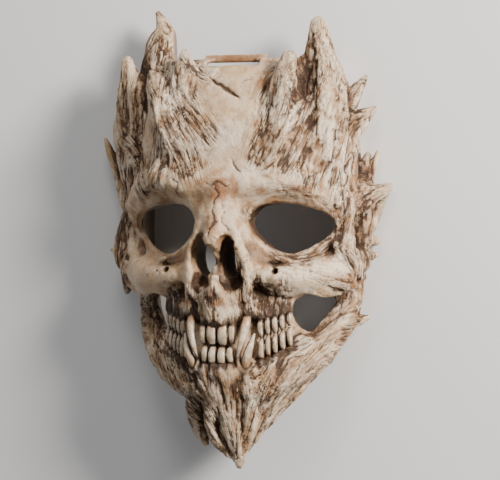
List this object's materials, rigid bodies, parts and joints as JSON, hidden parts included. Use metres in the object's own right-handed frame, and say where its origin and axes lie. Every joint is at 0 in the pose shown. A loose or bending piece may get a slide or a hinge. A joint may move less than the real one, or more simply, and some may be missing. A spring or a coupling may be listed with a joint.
{
  "type": "skull mask",
  "caption": "Hollow cast horned skull mask with open eyes, nostrils and cheeks, bared teeth and fangs, a pointed chin and a slotted strap bar at the top edge.",
  "frame": {"origin": "middle of the mask's box, on the plane of its flat rim", "axes": "+Z out of the face, +Y to the top of the head, +X to the viewer's right"},
  "size_m": [0.1882, 0.2848, 0.09],
  "materials": {
    "bone": "satin painted resin, ivory with brown washes"
  },
  "bodies": {
    "root": {"skull_mask": "bone"}
  },
  "joints": []
}
